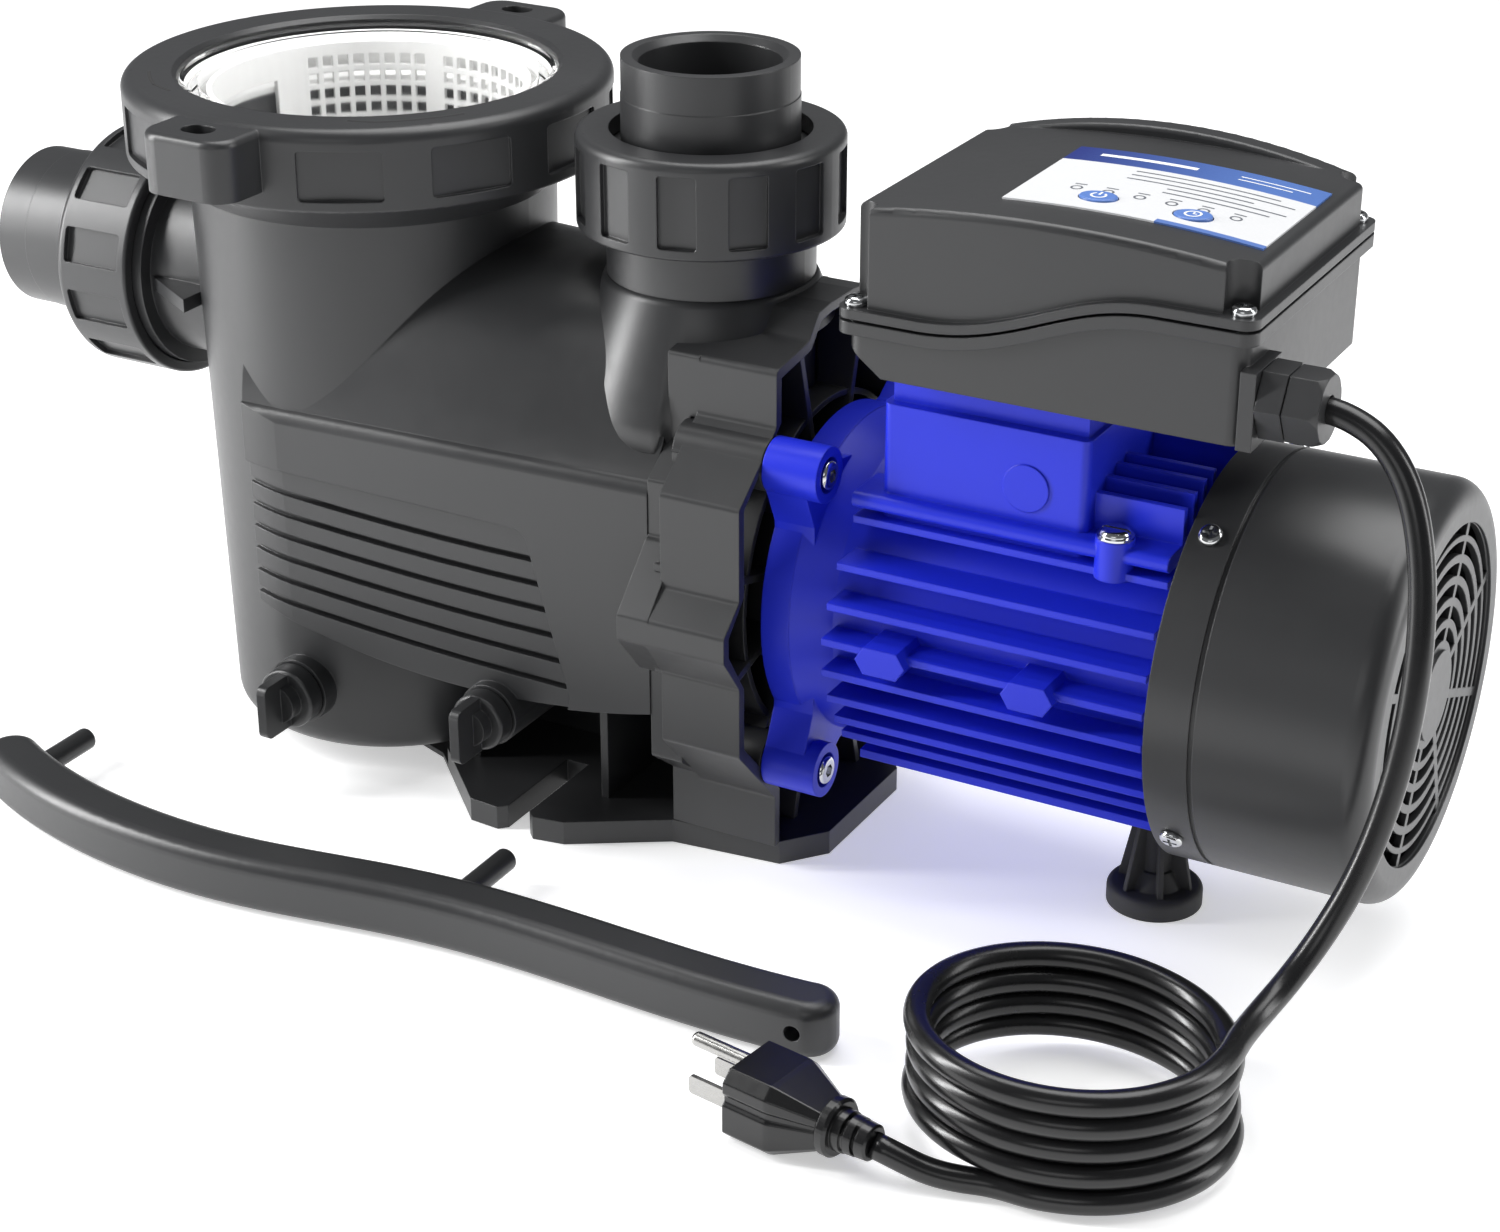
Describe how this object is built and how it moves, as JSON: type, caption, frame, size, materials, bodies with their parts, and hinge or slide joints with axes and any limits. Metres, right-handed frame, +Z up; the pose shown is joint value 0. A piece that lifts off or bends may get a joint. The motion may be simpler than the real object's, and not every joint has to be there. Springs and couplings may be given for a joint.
{
  "type": "pool pump",
  "caption": "Self-priming pool pump with strainer pot, clear lid, union ports, finned motor, control box, power cord with plug, and lid wrench.",
  "frame": {"origin": "on the floor, straight below the discharge port's axis, in the vertical plane of the motor shaft", "axes": "+X along the shaft towards the motor's fan cover, -X towards the suction port, +Z up along the discharge port"},
  "size_m": [0.5755, 0.3044, 0.275],
  "materials": {
    "black_plastic": "fine moulded satin",
    "inner_plastic": "moulded satin",
    "clear_plastic": "clear moulded polycarbonate",
    "white_plastic": "smooth moulded",
    "blue_paint": "satin paint over cast aluminium",
    "cast_metal": "as cast",
    "steel": "ground",
    "copper": "enamelled wire",
    "chrome": "bright plated",
    "nickel": "bright plated",
    "rubber": "matt",
    "seal_face": "lapped carbon and ceramic",
    "panel_print": "satin film",
    "button_blue": "satin film",
    "circuit_board": "solder mask",
    "cord_jacket": "smooth vinyl"
  },
  "bodies": {
    "root": {"pump_body": "black_plastic", "base_plate": "black_plastic", "seal_bracket": "black_plastic", "diffuser": "inner_plastic", "volute_oring": "rubber", "seal_seat": "seal_face", "motor_housing": "blue_paint", "through_bolts": "chrome", "stator_core": "steel", "stator_windings": "copper", "front_bearing": "steel", "rear_bearing": "steel", "rear_shield": "cast_metal", "fan_cover": "black_plastic", "fan_cover_screws": "chrome", "ground_screw": "chrome", "support_foot": "rubber", "junction_base": "black_plastic", "junction_lid": "black_plastic", "junction_screws": "chrome", "control_panel": "panel_print", "control_board": "circuit_board", "run_capacitor": "inner_plastic", "terminal_block": "black_plastic", "cable_gland": "black_plastic", "gland_nut": "black_plastic", "cord_drop": "cord_jacket", "cord_lead": "cord_jacket", "cord_coil": "cord_jacket", "plug_body": "cord_jacket", "plug_strain_relief": "cord_jacket", "plug_blades": "nickel", "plug_ground_pin": "nickel"},
    "rotor": {"motor_shaft": "steel", "rotor_core": "steel", "impeller": "inner_plastic", "seal_head": "seal_face", "cooling_fan": "inner_plastic"},
    "lid": {"strainer_lid": "clear_plastic", "lid_oring": "rubber"},
    "lock_ring": {"lock_ring": "black_plastic"},
    "basket": {"strainer_basket": "white_plastic"},
    "discharge_union": {"discharge_tail": "black_plastic", "discharge_oring": "rubber"},
    "discharge_nut": {"discharge_union_nut": "black_plastic"},
    "suction_union": {"suction_tail": "black_plastic", "suction_oring": "rubber"},
    "suction_nut": {"suction_union_nut": "black_plastic"},
    "pot_drain": {"pot_drain_plug": "black_plastic", "pot_drain_oring": "rubber"},
    "volute_drain": {"volute_drain_plug": "black_plastic", "volute_drain_oring": "rubber"},
    "power_button": {"power_button": "button_blue"},
    "timer_button": {"timer_button": "button_blue"},
    "wrench": {"lid_wrench": "black_plastic"}
  },
  "joints": [
    {"name": "rotor_spin", "type": "hinge", "parent": "root", "child": "rotor", "pos_m": [0, 0, 0.1006], "axis": [1, 0, 0], "continuous": true},
    {"name": "lid_lift", "type": "slide", "parent": "root", "child": "lid", "axis": [0, 0, 1], "range_m": [0, 0.26]},
    {"name": "ring_turn", "type": "hinge", "parent": "lid", "child": "lock_ring", "pos_m": [-0.14, 0, 0.24], "axis": [0, 0, 1], "range_deg": [0, 45]},
    {"name": "basket_lift", "type": "slide", "parent": "root", "child": "basket", "axis": [0, 0, 1], "range_m": [0, 0.21]},
    {"name": "discharge_tail_lift", "type": "slide", "parent": "root", "child": "discharge_union", "axis": [0, 0, 1], "range_m": [0, 0.06]},
    {"name": "discharge_nut_turn", "type": "hinge", "parent": "discharge_union", "child": "discharge_nut", "pos_m": [0, 0, 0.234], "axis": [0, 0, 1], "range_deg": [0, 1080]},
    {"name": "suction_tail_pull", "type": "slide", "parent": "root", "child": "suction_union", "axis": [-1, 0, 0], "range_m": [0, 0.06]},
    {"name": "suction_nut_turn", "type": "hinge", "parent": "suction_union", "child": "suction_nut", "pos_m": [-0.238, 0, 0.17], "axis": [-1, 0, 0], "range_deg": [0, 1080]},
    {"name": "pot_drain_turn", "type": "hinge", "parent": "root", "child": "pot_drain", "pos_m": [-0.138, -0.07, 0.034], "axis": [0, -1, 0], "range_deg": [0, 1080]},
    {"name": "volute_drain_turn", "type": "hinge", "parent": "root", "child": "volute_drain", "pos_m": [-0.055, -0.07, 0.044], "axis": [0, -1, 0], "range_deg": [0, 1080]},
    {"name": "power_button_press", "type": "slide", "parent": "root", "child": "power_button", "axis": [0, 0, -1], "range_m": [0, 0.0008], "stiffness_N_per_m": 600},
    {"name": "timer_button_press", "type": "slide", "parent": "root", "child": "timer_button", "axis": [0, 0, -1], "range_m": [0, 0.0008], "stiffness_N_per_m": 600},
    {"name": "wrench_lift", "type": "slide", "parent": "root", "child": "wrench", "axis": [0, 0, 1], "range_m": [0, 0.12]}
  ],
  "couplings": [
    {"joint": "basket_lift", "follows": "lid_lift", "ratio": 0.8}
  ]
}
